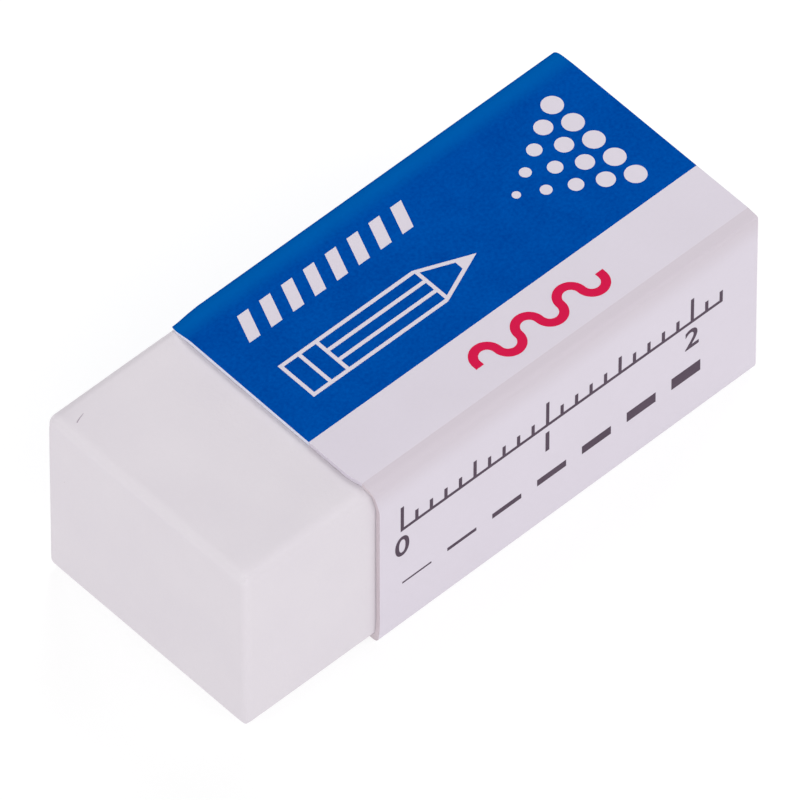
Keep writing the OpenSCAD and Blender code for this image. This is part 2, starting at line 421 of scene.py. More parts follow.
def path(inset, along=0.0):
    """Rows of (zone, share of the zone, y, z) from the seam round to the flap's edge.

    Only the outer face has the uneven foot, since the corner is filled with crushed board.
    """
    rows = []

    def run(zone, p, q, steps):
        for i in range(steps):
            t = i / steps
            rows.append((zone, t, p[0] + (q[0] - p[0]) * t, p[1] + (q[1] - p[1]) * t))

    def fold(zone, y, z, r, start, end, steps):
        for i in range(steps):
            a = start + (end - start) * i / steps
            rows.append((zone, i / steps, y + r * cos(a), z + r * sin(a)))

    top, near, far = TOP - inset, inset - HALF_W, HALF_W - inset
    turn, bend, foot, far_fold = (
        first + (last - first) * along for first, last in (TURNS, BENDS, FEET, FAR_FOLDS)
    )
    bend = max(bend - inset, 0.02)
    foot = foot + (FOOT - foot) * inset / BOARD
    r, far_y = far_fold - inset, HALF_W - far_fold
    break_in = CREASE_IN - inset * (1 - tan(turn / 2))
    facet = (break_in - bend * (1 - sin(turn))) / cos(turn)
    bend_z = top - facet * sin(turn) - bend * cos(turn)
    crease = Vector((near + break_in, top))
    down = Vector((-cos(turn), -sin(turn)))
    before, after = crease + down * CREASE_EASE, crease + Vector((CREASE_EASE, 0))
    roll_start = FAR_Y - ROLL_W
    roll_end = far_y + r * sin(ROLL_TURN)
    roll_drop = r * (1 - cos(ROLL_TURN))

    run("under", (SEAM_Y, inset), (foot - HALF_W, inset), 20)
    fold("foot", foot - HALF_W, foot, foot - inset, -pi / 2, -pi, 8)
    run("near", (near, foot), (near, bend_z - CLOSE_STATIONS), 12)
    run("near", (near, bend_z - CLOSE_STATIONS), (near, bend_z), 8)
    fold("bend", near + bend, bend_z, bend, pi, pi / 2 + turn, 10)
    run("facet", crease + down * facet, before, 4)
    rows.append(("facet", 1.0, *before))
    rows.append(("facet", 1.0, *((before + after) / 4 + crease / 2)))
    run("strip", after, (BORDER_Y, top), 8)
    run("field", (BORDER_Y, top), (roll_start, top), 14)
    for i in range(10):
        t = i / 10
        rows.append(("roll", t, roll_start + (roll_end - roll_start) * t, top - roll_drop * t * t))
    fold("far_fold", far_y, TOP - far_fold, r, pi / 2 - ROLL_TURN, 0, 9)
    run("far", (far, TOP - far_fold), (far, BOARD + FAR_FOOT), 14)
    fold("far_foot", HALF_W - FAR_FOOT, BOARD + FAR_FOOT, FAR_FOOT - inset, 0, -pi / 2, 8)
    blue_ends = (SEAM_Y - BLUE_UNDER_SEAM, BOARD + inset)
    run("lap", (HALF_W - FAR_FOOT, BOARD + inset), blue_ends, 6)
    run("flap", blue_ends, (FLAP_EDGE_Y, BOARD + inset), 10)
    rows.append(("flap", 1.0, FLAP_EDGE_Y, BOARD + inset))
    return rows


print("stations:", len(path(0)), "of which beside the crease:",
      sum(zone == "facet" for zone, *_ in path(0)))

# %% How far the board gives at each station
TOP_BOW = 0.045
SIDE_BOW = 0.035
UNDER_BOW = 0.03
BOW_AT_ENDS = 0.3


def smooth(t):
    t = min(max(t, 0.0), 1.0)
    return t * t * (3 - 2 * t)


def give(zone, t, y, z, along):
    """(dy, dz) of a station, at a share of the sleeve's length from its mouth."""
    swell = BOW_AT_ENDS + (1 - BOW_AT_ENDS) * sin(pi * along)
    dy = dz = 0.0
    if zone in ("strip", "field", "roll"):
        across = (y - CREASE_Y) / (FAR_Y - CREASE_Y)
        dz -= TOP_BOW * swell * max(0.0, sin(pi * min(across, 1)))
    if zone == "roll":
        dz -= ROLL_SAG * t * t
    if zone == "far_fold":
        dz -= ROLL_SAG * (1 - smooth(t * 1.1))
    if zone == "near":
        dy += SIDE_BOW * swell * max(0.0, sin(pi * (z - FOOT) / (TOP - CREASE_IN - FOOT)))
    if zone == "far":
        dy -= SIDE_BOW * swell * sin(pi * t)
    if zone in ("under", "lap", "flap") and y < SEAM_Y:
        dz += UNDER_BOW * swell * sin(pi * (y - CREASE_Y) / (SEAM_Y - CREASE_Y))
    return dy, dz


print("the top gives at mid-length, mm:", give("field", 0.5, (CREASE_Y + FAR_Y) / 2, TOP, 0.5)[1])


# %% Where the cut edge stands back, and where shade and sheen are painted on the surface
ON_TOP = ("strip", "field", "roll", "far_fold")
FAR_BACK = 0.45
# The height over which the near cut runs out, where that ends, and its line's exponent.
RUN_OUT, RUN_OUT_END, RUN_OUT_BEND = 2.1, TOP - 0.1, 1.2
# How far the foot stands forward, and up to what height.
FOOT_REACH, FOOT_REACH_H = 0.1, 1.4
# How far the top reaches beyond the mouth, the width over which that grows beside the crease,
# and the share of it that is lost towards the far fold.
REACH, REACH_GROWS, REACH_LOST = 0.17, 0.9, 0.6
# How far the painted shade under the crease fades down, and how strong the painted sheen on the
# far fold is.
CREASE_SHADE_FADE, FAR_FOLD_SHEEN = 2.4, 0.8


def set_back(zone, t, y, z):
    """How far the cut edge stands behind the mouth at a station, or minus how far before it.

    The sides and the bottom panel are cut shorter than the top panel. The near cut runs out
    up to the crease and stands forward a little at the foot. The far cut starts in the fold.
    """
    if zone in ("under", "foot", "near", "bend", "facet"):
        share = min(max((z - (RUN_OUT_END - RUN_OUT)) / RUN_OUT, 0.0), 1.0)
        forward = FOOT_REACH * (1 - smooth(z / FOOT_REACH_H))
        return SET_BACK * (1 - share ** RUN_OUT_BEND) - forward
    across = (y - CREASE_Y) / (FAR_Y - CREASE_Y)
    ahead = REACH * (1 - REACH_LOST * across) * smooth((y - CREASE_Y) / REACH_GROWS)
    if zone == "far_fold":
        return FAR_BACK * (1 - cos(pi / 2 * t)) - ahead * (1 - t)
    return -ahead if zone in ON_TOP else FAR_BACK


def wear(zone, t, z):
    """How much painted light a station gets: shade, most just under the crease, and a
    paler sheen on the blue along the far fold."""
    if zone in ("facet", "near", "bend"):
        return 1 - smooth((TOP - z) / CREASE_SHADE_FADE)
    if zone == "roll":
        return FAR_FOLD_SHEEN * smooth(t)
    return FAR_FOLD_SHEEN * (1 - smooth((t - 0.25) / 0.35)) if zone == "far_fold" else 0.0


print("set back half way up:", set_back("near", 0, -HALF_W, TOP / 2))


# %% Build the sheet
GLUE_LINE = 0.004
GRIP, GRIP_REACH = 0.07, 2.8
PINCH, PINCH_REACH = 0.12, 1.8
WHITE, BLUE, BARE, CUT = range(4)
BLUE_ZONES = ("field", "roll", "far_fold", "far", "far_foot", "lap")
CLOSE_ROWS = [0, 0.06, 0.14, 0.3, 0.6, 1.1, 1.8, 2.8]
WIDE_ROWS = 26


def sleeve_rows():
    """Distances along the sleeve, close together at its cut edges."""
    length = BACK - MOUTH
    inner = np.linspace(CLOSE_ROWS[-1], length - CLOSE_ROWS[-1], WIDE_ROWS + 2)[1:-1]
    return [*CLOSE_ROWS, *inner, *(length - d for d in reversed(CLOSE_ROWS))]


def grip(zone, t, from_cut):
    """A share: the board swells at its mouth until it nearly grips the block."""
    flat = {"under": 0.0, "foot": min(1.0, 3 * t), "far_foot": 1 - t, "lap": 0.0, "flap": 0.0}
    return flat.get(zone, 1.0) * (1 - smooth(from_cut / GRIP_REACH))


def pinch(zone, t, from_cut):
    """A share: at the mouth the far fold is pressed thinner round the block's edge."""
    round_fold = {"roll": smooth(t), "far_fold": 1.0, "far": 1 - smooth(4 * t)}
    return round_fold.get(zone, 0.0) * (1 - smooth(from_cut / PINCH_REACH))


def folded_sheet(name):
    """The closed sheet: both its faces, the edges along it, and the cuts at mouth and back."""
    insets = (0, PINCH, BOARD - GLUE_LINE, BOARD - GLUE_LINE + GRIP)
    rows, stations = sleeve_rows(), len(path(0))
    points, painted_light_share, core_and_shade, faces, ink = [], [], [], [], []
    for d in rows:
        along = d / rows[-1]
        outer, pinched, inner, swollen = (path(inset, along) for inset in insets)
        for side, pressed, share_of in ((outer, pinched, pinch), (inner, swollen, grip)):
            for (zone, t, y, z), (_, _, to_y, to_z), (_, _, outer_y, outer_z) in zip(
                    side, pressed, outer):
                dy, dz = give(zone, t, outer_y, outer_z, along)
                share = share_of(zone, t, d)
                x = MOUTH + d + set_back(zone, t, outer_y, outer_z) * (1 - along)
                points.append((x, y + (to_y - y) * share + dy, z + (to_z - z) * share + dz))
                # Painted shade under the crease and painted sheen along the far fold.
                painted_light_share.append(wear(zone, t, outer_z))
                # Cut edges off the top are greyer: partly the bare core, partly painted shade of
                # the gap against the block.
                core_and_shade.append(0.0 if zone in ON_TOP else 1.0)

    def at(row, inner, station):
        return (row * 2 + inner) * stations + station

    def quad(a, b, c, d, material):
        faces.append((a, b, c, d))
        ink.append(material)

    last = stations - 1
    for row in range(len(rows) - 1):
        for s in range(last):
            outer_ink = BLUE if outer[s][0] in BLUE_ZONES else WHITE
            for inner, material in ((0, outer_ink), (1, BARE)):
                quad(at(row, inner, s), at(row, inner, s + 1), at(row + 1, inner, s + 1),
                     at(row + 1, inner, s), material)
        for s in (0, last):
            quad(at(row, 0, s), at(row, 1, s), at(row + 1, 1, s), at(row + 1, 0, s), CUT)
    for row in (0, len(rows) - 1):
        for s in range(last):
            edge_ink = WHITE if outer[s][0] == "strip" else CUT
            quad(at(row, 0, s), at(row, 1, s), at(row, 1, s + 1), at(row, 0, s + 1), edge_ink)
    piece = piece_from(name, points, faces, [board_white, ink_blue, board_inside, board_cut], ink)
    for label, values in (("wear", painted_light_share), ("bare edge", core_and_shade)):
        piece.data.attributes.new(label, "FLOAT", "POINT").data.foreach_set("value", values)
    return piece


sleeve = folded_sheet("folded_sleeve")
face_outwards(sleeve, radians(16))
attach(sleeve, "sleeve")
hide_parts("paper_sleeve")

# %% [markdown]
# ## Laying print on the board
#
# Print is a film of ink that follows the board wherever it bows. It could be an image on the
# sheet, but a film keeps a sharp edge from any distance and can be exported as a mesh. Each
# figure is drawn flat, a millimetre in front of its panel. A node group then does what a press
# does: it sends a ray from every vertex towards the board, moves the vertex to where the ray
# lands, just under the face, and gives the film its thickness. The back of the film is kept, so
# that each figure is a closed solid.

# %% The press
FILM = 0.012
SUNK = 0.004
OFF_PLATE = 1.0


def join(tree, *parts):
    node = tree.nodes.new("GeometryNodeJoinGeometry")
    for part in parts:
        connect(tree, node, {"Geometry": part})
    return node


press, given, out = new_group(
    "press onto board",
    "GeometryNodeTree",
    [
        ("Figure", "NodeSocketGeometry", None),
        ("Board", "NodeSocketObject", None),
        ("Toward", "NodeSocketVector", (0, 0, -1)),
        ("Film", "NodeSocketFloat", FILM * MM),
        ("Ink", "NodeSocketMaterial", None),
    ],
    [("Print", "NodeSocketGeometry")],
)
board_shape = add(press, "GeometryNodeObjectInfo", {"Object": given["Board"]})
ray = add(press, "GeometryNodeRaycast", {
    "Target Geometry": board_shape.outputs["Geometry"], "Ray Direction": given["Toward"],
})
away = add(press, "ShaderNodeVectorMath", {0: given["Toward"], "Scale": -1.0}, operation="SCALE")
sink = add(press, "ShaderNodeVectorMath", {0: given["Toward"], "Scale": SUNK * MM},
           operation="SCALE")
down = add(press, "GeometryNodeSetPosition", {
    "Geometry": given["Figure"], "Position": ray.outputs["Hit Position"], "Offset": sink,
})
raised = add(press, "GeometryNodeExtrudeMesh", {
    "Mesh": down, "Offset": away, "Offset Scale": given["Film"], "Individual": False,
})
back = add(press, "GeometryNodeFlipFaces", {"Mesh": down})
both = join(press, raised, back)
closed = add(press, "GeometryNodeMergeByDistance", {"Geometry": both, "Distance": 1e-7})
flat = add(press, "GeometryNodeSetShadeSmooth", {"Geometry": closed, "Shade Smooth": False})
solid = add(press, "GeometryNodeRealizeInstances", {"Geometry": flat})
inked = add(press, "GeometryNodeSetMaterial", {"Geometry": solid, "Material": given["Ink"]})
connect(press, out, {"Print": inked})
print("group:", press.name, len(press.nodes), "nodes")


# %% Run a tree and keep what it makes
def worked_out(carrier):
    """The mesh that an object's curve or tree comes to. The object and its modifier go."""
    bpy.context.view_layer.update()
    graph = bpy.context.evaluated_depsgraph_get()
    mesh = bpy.data.meshes.new_from_object(carrier.evaluated_get(graph), depsgraph=graph)
    carrier.modifiers.clear()
    bpy.data.objects.remove(carrier)
    return mesh


def make_with(tree, name, values, start=None):
    """Runs a tree on a mesh, or on nothing, and returns the result as a plain piece."""
    carrier = link(bpy.data.objects.new("plate", start or bpy.data.meshes.new("plate")))
    modifier = carrier.modifiers.new("tree", "NODES")
    modifier.node_group = tree
    for item in tree.interface.items_tree:
        if item.in_out == "INPUT" and item.name in values:
            modifier[item.identifier] = values[item.name]
    mesh = worked_out(carrier)
    mesh.name = name
    piece = link(bpy.data.objects.new(name, mesh))
    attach(piece, "sleeve")
    low = [min(v.co[a] for v in mesh.vertices) / MM for a in range(3)]
    high = [max(v.co[a] for v in mesh.vertices) / MM for a in range(3)]
    print(name, len(mesh.polygons), "faces, mm", np.round(low, 3), np.round(high, 3))
    return piece


# %% [markdown]
# ## Trees that draw the figures
#
# Every figure tree has the same outline: named sizes in, points in a row or a grid, one small
# tile or disc on each point, and then the press. Two helpers hold what they share. The second
# ends the tree.

# %% The start and the end that the figure trees share
COUNT, SIZE = "NodeSocketInt", "NodeSocketFloat"
PLACING = {
    "Place": "NodeSocketVector", "Turn": "NodeSocketVector", "Toward": "NodeSocketVector",
    "Board": "NodeSocketObject", "Ink": "NodeSocketMaterial",
}


def figure_tree(name, sizes):
    """Starts a tree with these inputs: a socket type for each name. make_with gives values."""
    rows = [(label, kind, None) for label, kind in {**sizes, **PLACING}.items()]
    return new_group(name, "GeometryNodeTree", rows, [("Print", "NodeSocketGeometry")])


def end_tree(tree, given, out, drawn):
    """Places the drawn figure in front of its panel and presses it on."""
    real = add(tree, "GeometryNodeRealizeInstances", {"Geometry": drawn})
    placed = add(tree, "GeometryNodeTransform", {
        "Geometry": real, "Translation": given["Place"], "Rotation": given["Turn"],
    })
    handed_on = {label: given[label] for label in ("Board", "Toward", "Ink")}
    pressed = add(tree, "GeometryNodeGroup", {"Figure": placed, **handed_on}, node_tree=press)
    real = add(tree, "GeometryNodeRealizeInstances", {"Geometry": pressed})
    inked = add(tree, "GeometryNodeSetMaterial", {"Geometry": real, "Material": given["Ink"]})
    connect(tree, out, {"Print": inked})
    print("tree:", tree.name, len(tree.nodes), "nodes")


def calc(tree, operation, *values):
    return add(tree, "ShaderNodeMath", enumerate(values), operation=operation)


def tile(tree, columns=2):
    """A square of side 1 with its lower left corner at the origin."""
    grid = add(tree, "GeometryNodeMeshGrid",
               {"Size X": 1.0, "Size Y": 1.0, "Vertices X": columns, "Vertices Y": 2})
    return add(tree, "GeometryNodeTransform", {"Geometry": grid, "Translation": (0.5, 0.5, 0)})


def point_row(tree, count, pitch):
    step = add(tree, "ShaderNodeCombineXYZ", {"X": pitch})
    return add(tree, "GeometryNodeMeshLine", {"Count": count, "Offset": step})


# %% [markdown]
# ### Slanting dashes
# A row of tiles. After they are real, each vertex slides sideways by its own height.

# %% Dash tree
dashes, given, out = figure_tree("row of dashes", {
    "Count": COUNT, "Pitch": SIZE, "Width": SIZE, "Height": SIZE, "Lean": SIZE,
})
size = add(dashes, "ShaderNodeCombineXYZ", {"X": given["Width"], "Y": given["Height"], "Z": 1.0})
row = add(dashes, "GeometryNodeInstanceOnPoints", {
    "Points": point_row(dashes, given["Count"], given["Pitch"]), "Instance": tile(dashes),
    "Scale": size,
})
real = add(dashes, "GeometryNodeRealizeInstances", {"Geometry": row})
here = add(dashes, "ShaderNodeSeparateXYZ", {0: add(dashes, "GeometryNodeInputPosition")})
slide = calc(dashes, "MULTIPLY", given["Lean"],
             calc(dashes, "DIVIDE", here.outputs["Y"], given["Height"]))
leant = add(dashes, "GeometryNodeSetPosition", {
    "Geometry": real, "Offset": add(dashes, "ShaderNodeCombineXYZ", {"X": slide}),
})
end_tree(dashes, given, out, leant)

# %% [markdown]
# ### Dots that shrink
# A square grid of points becomes a triangle when the points past its diagonal are deleted.
# Each column is moved down by half a step and its discs are a little smaller.

# %% Dot tree
dots, given, out = figure_tree("triangle of dots", {
    "Rows": COUNT, "Pitch": SIZE, "Radius": SIZE, "Fade": SIZE,
})
grid = add(dots, "GeometryNodeMeshGrid", {
    "Size X": 0.0, "Size Y": 0.0, "Vertices X": given["Rows"], "Vertices Y": given["Rows"],
})
index = add(dots, "GeometryNodeInputIndex")
column = calc(dots, "FLOOR", calc(dots, "DIVIDE", index, given["Rows"]))
in_column = calc(dots, "MODULO", index, given["Rows"])
columns = add(dots, "GeometryNodeStoreNamedAttribute",
              {"Geometry": grid, "Name": "column", "Value": column},
              data_type="FLOAT", domain="POINT")
right = calc(dots, "MULTIPLY", column, calc(dots, "MULTIPLY", given["Pitch"], -sin(pi / 3)))
half_step = calc(dots, "ADD", in_column, calc(dots, "MULTIPLY", column, 0.5))
lower = calc(dots, "MULTIPLY", half_step, calc(dots, "MULTIPLY", given["Pitch"], -1.0))
inset = add(dots, "ShaderNodeCombineXYZ", {
    "X": calc(dots, "SUBTRACT", right, given["Radius"]),
    "Y": calc(dots, "SUBTRACT", lower, given["Radius"]),
})
spaced = add(dots, "GeometryNodeSetPosition", {"Geometry": columns, "Position": inset})
beyond = calc(dots, "GREATER_THAN", calc(dots, "ADD", column, in_column),
              calc(dots, "SUBTRACT", given["Rows"], 0.5))
triangle = add(dots, "GeometryNodeDeleteGeometry",
               {"Geometry": spaced, "Selection": beyond}, domain="POINT")
column_of = add(dots, "GeometryNodeInputNamedAttribute", {"Name": "column"}, data_type="FLOAT")
shrink = calc(dots, "SUBTRACT", 1.0, calc(dots, "MULTIPLY", column_of, given["Fade"]))
disc = add(dots, "GeometryNodeMeshCircle", {"Vertices": 48, "Radius": given["Radius"]},
           fill_type="NGON")
discs = add(dots, "GeometryNodeInstanceOnPoints",
            {"Points": triangle, "Instance": disc, "Scale": shrink})
end_tree(dots, given, out, discs)

# %% [markdown]
# ### The wave
# A straight line of many points is bent into half turns, alternately up and down. The line
# runs straight on for half its width at both ends, where it narrows along a half circle.

# %% Wave tree
wave, given, out = figure_tree("wave ribbon", {
    "Half turns": COUNT, "Radius": SIZE, "Width": SIZE, "Points": COUNT,
})
half_width = calc(wave, "DIVIDE", given["Width"], 2.0)
end_angle = calc(wave, "DIVIDE", half_width, given["Radius"])
total = calc(wave, "ADD", calc(wave, "MULTIPLY", given["Half turns"], pi),
             calc(wave, "MULTIPLY", end_angle, 2.0))
line = add(wave, "GeometryNodeCurvePrimitiveLine", {"End": (1, 0, 0)})
dense = add(wave, "GeometryNodeResampleCurve", {"Curve": line, "Count": given["Points"]})
share = add(wave, "GeometryNodeSplineParameter").outputs["Factor"]
stored = add(wave, "GeometryNodeStoreNamedAttribute",
             {"Geometry": dense, "Name": "share", "Value": share},
             data_type="FLOAT", domain="POINT")
share = add(wave, "GeometryNodeInputNamedAttribute", {"Name": "share"}, data_type="FLOAT")
angle = calc(wave, "SUBTRACT", calc(wave, "MULTIPLY", share, total), end_angle)
last_angle = calc(wave, "SUBTRACT", calc(wave, "MULTIPLY", given["Half turns"], pi), 1e-4)
bent_angle = calc(wave, "MINIMUM", calc(wave, "MAXIMUM", angle, 0.0), last_angle)
straight = calc(wave, "SUBTRACT", angle, bent_angle)
turn = calc(wave, "FLOOR", calc(wave, "DIVIDE", bent_angle, pi))
phase = calc(wave, "SUBTRACT", bent_angle, calc(wave, "MULTIPLY", turn, pi))
odd = calc(wave, "FLOORED_MODULO", turn, 2.0)
upward = calc(wave, "SUBTRACT", 1.0, calc(wave, "MULTIPLY", odd, 2.0))
centre = calc(wave, "ADD", calc(wave, "MULTIPLY", turn, 2.0), 1.0)
across = calc(wave, "SUBTRACT", centre, calc(wave, "COSINE", phase))
tail = calc(wave, "MULTIPLY", straight, calc(wave, "COSINE", phase))
rise = calc(wave, "MULTIPLY", upward, calc(wave, "ADD", calc(wave, "SINE", phase), tail))
on_wave = add(wave, "ShaderNodeCombineXYZ", {
    "X": calc(wave, "MULTIPLY", across, given["Radius"]),
    "Y": calc(wave, "MULTIPLY", rise, given["Radius"]),
})
bent = add(wave, "GeometryNodeSetPosition", {"Geometry": stored, "Position": on_wave})
from_end = calc(wave, "MINIMUM", share, calc(wave, "SUBTRACT", 1.0, share))
cap = calc(wave, "MINIMUM", 1.0,
           calc(wave, "DIVIDE", calc(wave, "MULTIPLY", from_end, total), end_angle))
left = calc(wave, "SUBTRACT", 1.0, cap)
roundness = calc(wave, "SQRT",
                 calc(wave, "SUBTRACT", 1.0001, calc(wave, "MULTIPLY", left, left)))
narrowed = add(wave, "GeometryNodeSetCurveRadius", {"Curve": bent, "Radius": roundness})
upright = add(wave, "GeometryNodeSetCurveNormal", {"Curve": narrowed}, mode="Z_UP")
profile = add(wave, "GeometryNodeCurvePrimitiveLine", {
    "Start": add(wave, "ShaderNodeCombineXYZ", {"X": calc(wave, "MULTIPLY", half_width, -1.0)}),
    "End": add(wave, "ShaderNodeCombineXYZ", {"X": half_width}),
})
ribbon = add(wave, "GeometryNodeCurveToMesh", {"Curve": upright, "Profile Curve": profile})
end_tree(wave, given, out, ribbon)

# %% [markdown]
# ### The scale and the line weights
# On the scale one tile per point is a tick, and its height comes from its number: every tenth
# is the tallest and every fifth the next. A long tile is the base line, cut into short pieces
# so that it can follow the board. The line weights are tiles that thicken with their number.

# %% Scale tree
BASE_COLUMNS = 24
scale, given, out = figure_tree("scale", {
    "Ticks": COUNT, "Pitch": SIZE, "Line": SIZE, "Tick": SIZE, "Fifth": SIZE, "Tenth": SIZE,
})
index = add(scale, "GeometryNodeInputIndex")
is_tenth = calc(scale, "COMPARE", calc(scale, "MODULO", index, 10.0), 0.0, 0.5)
is_fifth = calc(scale, "COMPARE", calc(scale, "MODULO", index, 5.0), 0.0, 0.5)
tall = add(scale, "ShaderNodeMix",
           {"Factor": is_fifth, "A": given["Tick"], "B": given["Fifth"]})
tall = add(scale, "ShaderNodeMix", {"Factor": is_tenth, "A": tall, "B": given["Tenth"]})
above_line = calc(scale, "SUBTRACT", tall, given["Line"])
tick_size = add(scale, "ShaderNodeCombineXYZ", {"X": given["Line"], "Y": above_line, "Z": 1.0})
marks = calc(scale, "ADD", given["Ticks"], 1.0)
on_line = add(scale, "GeometryNodeTransform", {
    "Geometry": point_row(scale, marks, given["Pitch"]),
    "Translation": add(scale, "ShaderNodeCombineXYZ", {"Y": given["Line"]}),
})
ticks = add(scale, "GeometryNodeInstanceOnPoints",
            {"Points": on_line, "Instance": tile(scale), "Scale": tick_size})
long = calc(scale, "ADD", calc(scale, "MULTIPLY", given["Ticks"], given["Pitch"]),
            given["Line"])
base = add(scale, "GeometryNodeTransform", {
    "Geometry": tile(scale, BASE_COLUMNS),
    "Scale": add(scale, "ShaderNodeCombineXYZ", {"X": long, "Y": given["Line"], "Z": 1.0}),
})
end_tree(scale, given, out, join(scale, ticks, base))

# %% Line weight tree
weights, given, out = figure_tree("line weights", {
    "Count": COUNT, "Pitch": SIZE, "Length": SIZE, "Step": SIZE,
})
number = calc(weights, "ADD", add(weights, "GeometryNodeInputIndex"), 1.0)
bar_size = add(weights, "ShaderNodeCombineXYZ", {
    "X": given["Length"], "Y": calc(weights, "MULTIPLY", number, given["Step"]), "Z": 1.0,
})
bars = add(weights, "GeometryNodeInstanceOnPoints", {
    "Points": point_row(weights, given["Count"], given["Pitch"]),
    "Instance": tile(weights, 3), "Scale": bar_size,
})
end_tree(weights, given, out, bars)

# %% [markdown]
# ### The pencil and the numbers
# A pencil in outline has panes between its lines. A flat curve object fills the area between
# an outer line and the lines inside it, so the pencil is one outer spline and six panes, and
# needs no cutting. The numbers on the scale come from a text object. Both are plain meshes
# before their place is applied, and a short tree passes them to the same press.

# %% The tree for shapes that are drawn beforehand
drawn_plate, given, out = figure_tree("drawn plate", {"Figure": "NodeSocketGeometry"})
end_tree(drawn_plate, given, out, given["Figure"])


def flat_mesh(data, name):
    """The filled mesh of a flat curve or text, drawn in mm, in metres."""
    mesh = worked_out(link(bpy.data.objects.new(name, data)))
    shape = bmesh.new()
    shape.from_mesh(mesh)
    bmesh.ops.remove_doubles(shape, verts=shape.verts, dist=0.001)
    for face in shape.faces:
        if face.normal.z < 0:
            face.normal_flip()
    bmesh.ops.scale(shape, vec=(MM, MM, MM), verts=shape.verts)
    shape.to_mesh(mesh)
    shape.free()
    return mesh


# %% Pencil outline
LINE = 0.22
PENCIL_L, PENCIL_W, CONE_L, LEAD_L, FERRULE_L = 12.4, 2.7, 3.2, 1.2, 1.2


def pencil_splines():
    """The outer line of the pencil and the panes inside it, as lists of corners."""
    r = PENCIL_W / 2
    cone_x, lead_x, barrel_x = PENCIL_L - CONE_L, PENCIL_L - LEAD_L, 2 * FERRULE_L
    pane_w = (PENCIL_W - 4 * LINE) / 3
    side_w = LINE * Vector((r, CONE_L)).length / CONE_L

    def cone_half(x):
        return r * (PENCIL_L - x) / CONE_L - side_w

    def pane(x0, x1, y0, y1):
        return [(x0, y0), (x1, y0), (x1, y1), (x0, y1)]

    cone_start = cone_x + LINE
    return [
        [(0, -r), (cone_x, -r), (PENCIL_L, 0), (cone_x, r), (0, r)],
        *(pane(x + LINE, x + FERRULE_L, LINE - r, r - LINE) for x in (0, FERRULE_L)),
        *(pane(barrel_x + LINE, cone_x, LINE - r + i * (pane_w + LINE),
               LINE - r + i * (pane_w + LINE) + pane_w) for i in range(3)),
        [(cone_start, -cone_half(cone_start)), (lead_x, -cone_half(lead_x)),
         (lead_x, cone_half(lead_x)), (cone_start, cone_half(cone_start))],
    ]


def flat_curve(name, splines):
    curve = bpy.data.curves.new(name, "CURVE")
    curve.dimensions = "2D"
    curve.fill_mode = "BOTH"
    for corners in splines:
        spline = curve.splines.new("POLY")
        spline.points.add(len(corners) - 1)
        for point, (x, y) in zip(spline.points, corners):
            point.co = (x, y, 0, 1)
        spline.use_cyclic_u = True
    return curve


pencil_mesh = flat_mesh(flat_curve("pencil", pencil_splines()), "pencil")
print("pencil:", len(pencil_mesh.polygons), "faces")

# %% [markdown]
# ## Printing the sleeve
#
# White figures are where the press leaves the coated board bare in the blue. Here they are
# films in the board's own finish, which looks the same and keeps the blue field in one piece.

# %% Print the top panel
MARGIN = 2.05
PLATE_Z = (TOP + OFF_PLATE) * MM


def on_top(x, y):
    return {"Place": (x * MM, y * MM, PLATE_Z), "Board": sleeve, "Toward": (0.0, 0.0, -1.0)}


DASH_DROP, DASH_H = 1.35, 1.7
PENCIL_RISE = 3.35
WAVE_IN, WAVE_DROP = 9.5, 2
make_with(dashes, "white_dashes", {
    "Count": 8, "Pitch": 1.5 * MM, "Width": 0.75 * MM, "Height": DASH_H * MM,
    "Lean": 0.7 * MM, "Ink": board_white,
    **on_top(MOUTH + MARGIN, FAR_Y - DASH_DROP - DASH_H),
})
make_with(dots, "white_dots", {
    "Rows": 5, "Pitch": 1.55 * MM, "Radius": 0.6 * MM, "Fade": 0.15, "Ink": board_white,
    **on_top(BACK - MARGIN, FAR_Y - DASH_DROP),
})
make_with(drawn_plate, "white_pencil", {
    "Ink": board_white, **on_top(MOUTH + MARGIN, BORDER_Y + PENCIL_RISE),
}, start=pencil_mesh)
make_with(wave, "red_wave", {
    "Half turns": 6, "Radius": 0.72 * MM, "Width": 0.52 * MM, "Points": 500, "Ink": ink_red,
    **on_top(MOUTH + WAVE_IN, BORDER_Y - WAVE_DROP),
})

# %% Print the near side
SIDE_Y = -(HALF_W + OFF_PLATE) * MM
UPRIGHT = (pi / 2, 0.0, 0.0)


def on_near_side(x, z):
    return {"Place": (x * MM, SIDE_Y, z * MM), "Turn": UPRIGHT, "Board": sleeve,
            "Toward": (0.0, 1.0, 0.0), "Ink": ink_grey}


SCALE_X = MOUTH + MARGIN
SCALE_Z = TOP - 4.7
WEIGHTS_Z = 3.4
make_with(scale, "grey_scale", {
    "Ticks": 22, "Pitch": 1.0 * MM, "Line": LINE * MM, "Tick": 0.9 * MM, "Fifth": 1.4 * MM,
    "Tenth": 1.9 * MM, **on_near_side(SCALE_X - LINE / 2, SCALE_Z - LINE / 2),
})
make_with(weights, "grey_line_weights", {
    "Count": 7, "Pitch": 3.1 * MM, "Length": 2.0 * MM, "Step": 0.12 * MM,
    **on_near_side(SCALE_X, WEIGHTS_Z),
})

# %% Numbers under the tall ticks
NUMBER_H = 1.5
NUMBER_GAP = 0.5
FONT_PER_DIGIT_H, NUMBER_BOLD = 1.37, 0.03
for number in range(3):
    text = bpy.data.curves.new("number", "FONT")
    text.body = str(number)
    text.size = NUMBER_H * FONT_PER_DIGIT_H
    text.offset = NUMBER_BOLD
    text.align_x = "CENTER"
    text.align_y = "TOP_BASELINE"
    make_with(drawn_plate, f"grey_number_{number}",
              on_near_side(SCALE_X + 10 * number, SCALE_Z - NUMBER_GAP - NUMBER_H),
              start=flat_mesh(text, "number"))

# %% [markdown]
# ## Signs of life on the bare tip
#
# A new eraser still picks up something: a hair lies on the tip and three specks of dust cling
# to its end. They are tiny, half sunk in the vinyl, and ride on the block. The hair is a curve
# with a round section, and the dust is three flattened balls, because at this size nothing
# more can be seen of them.

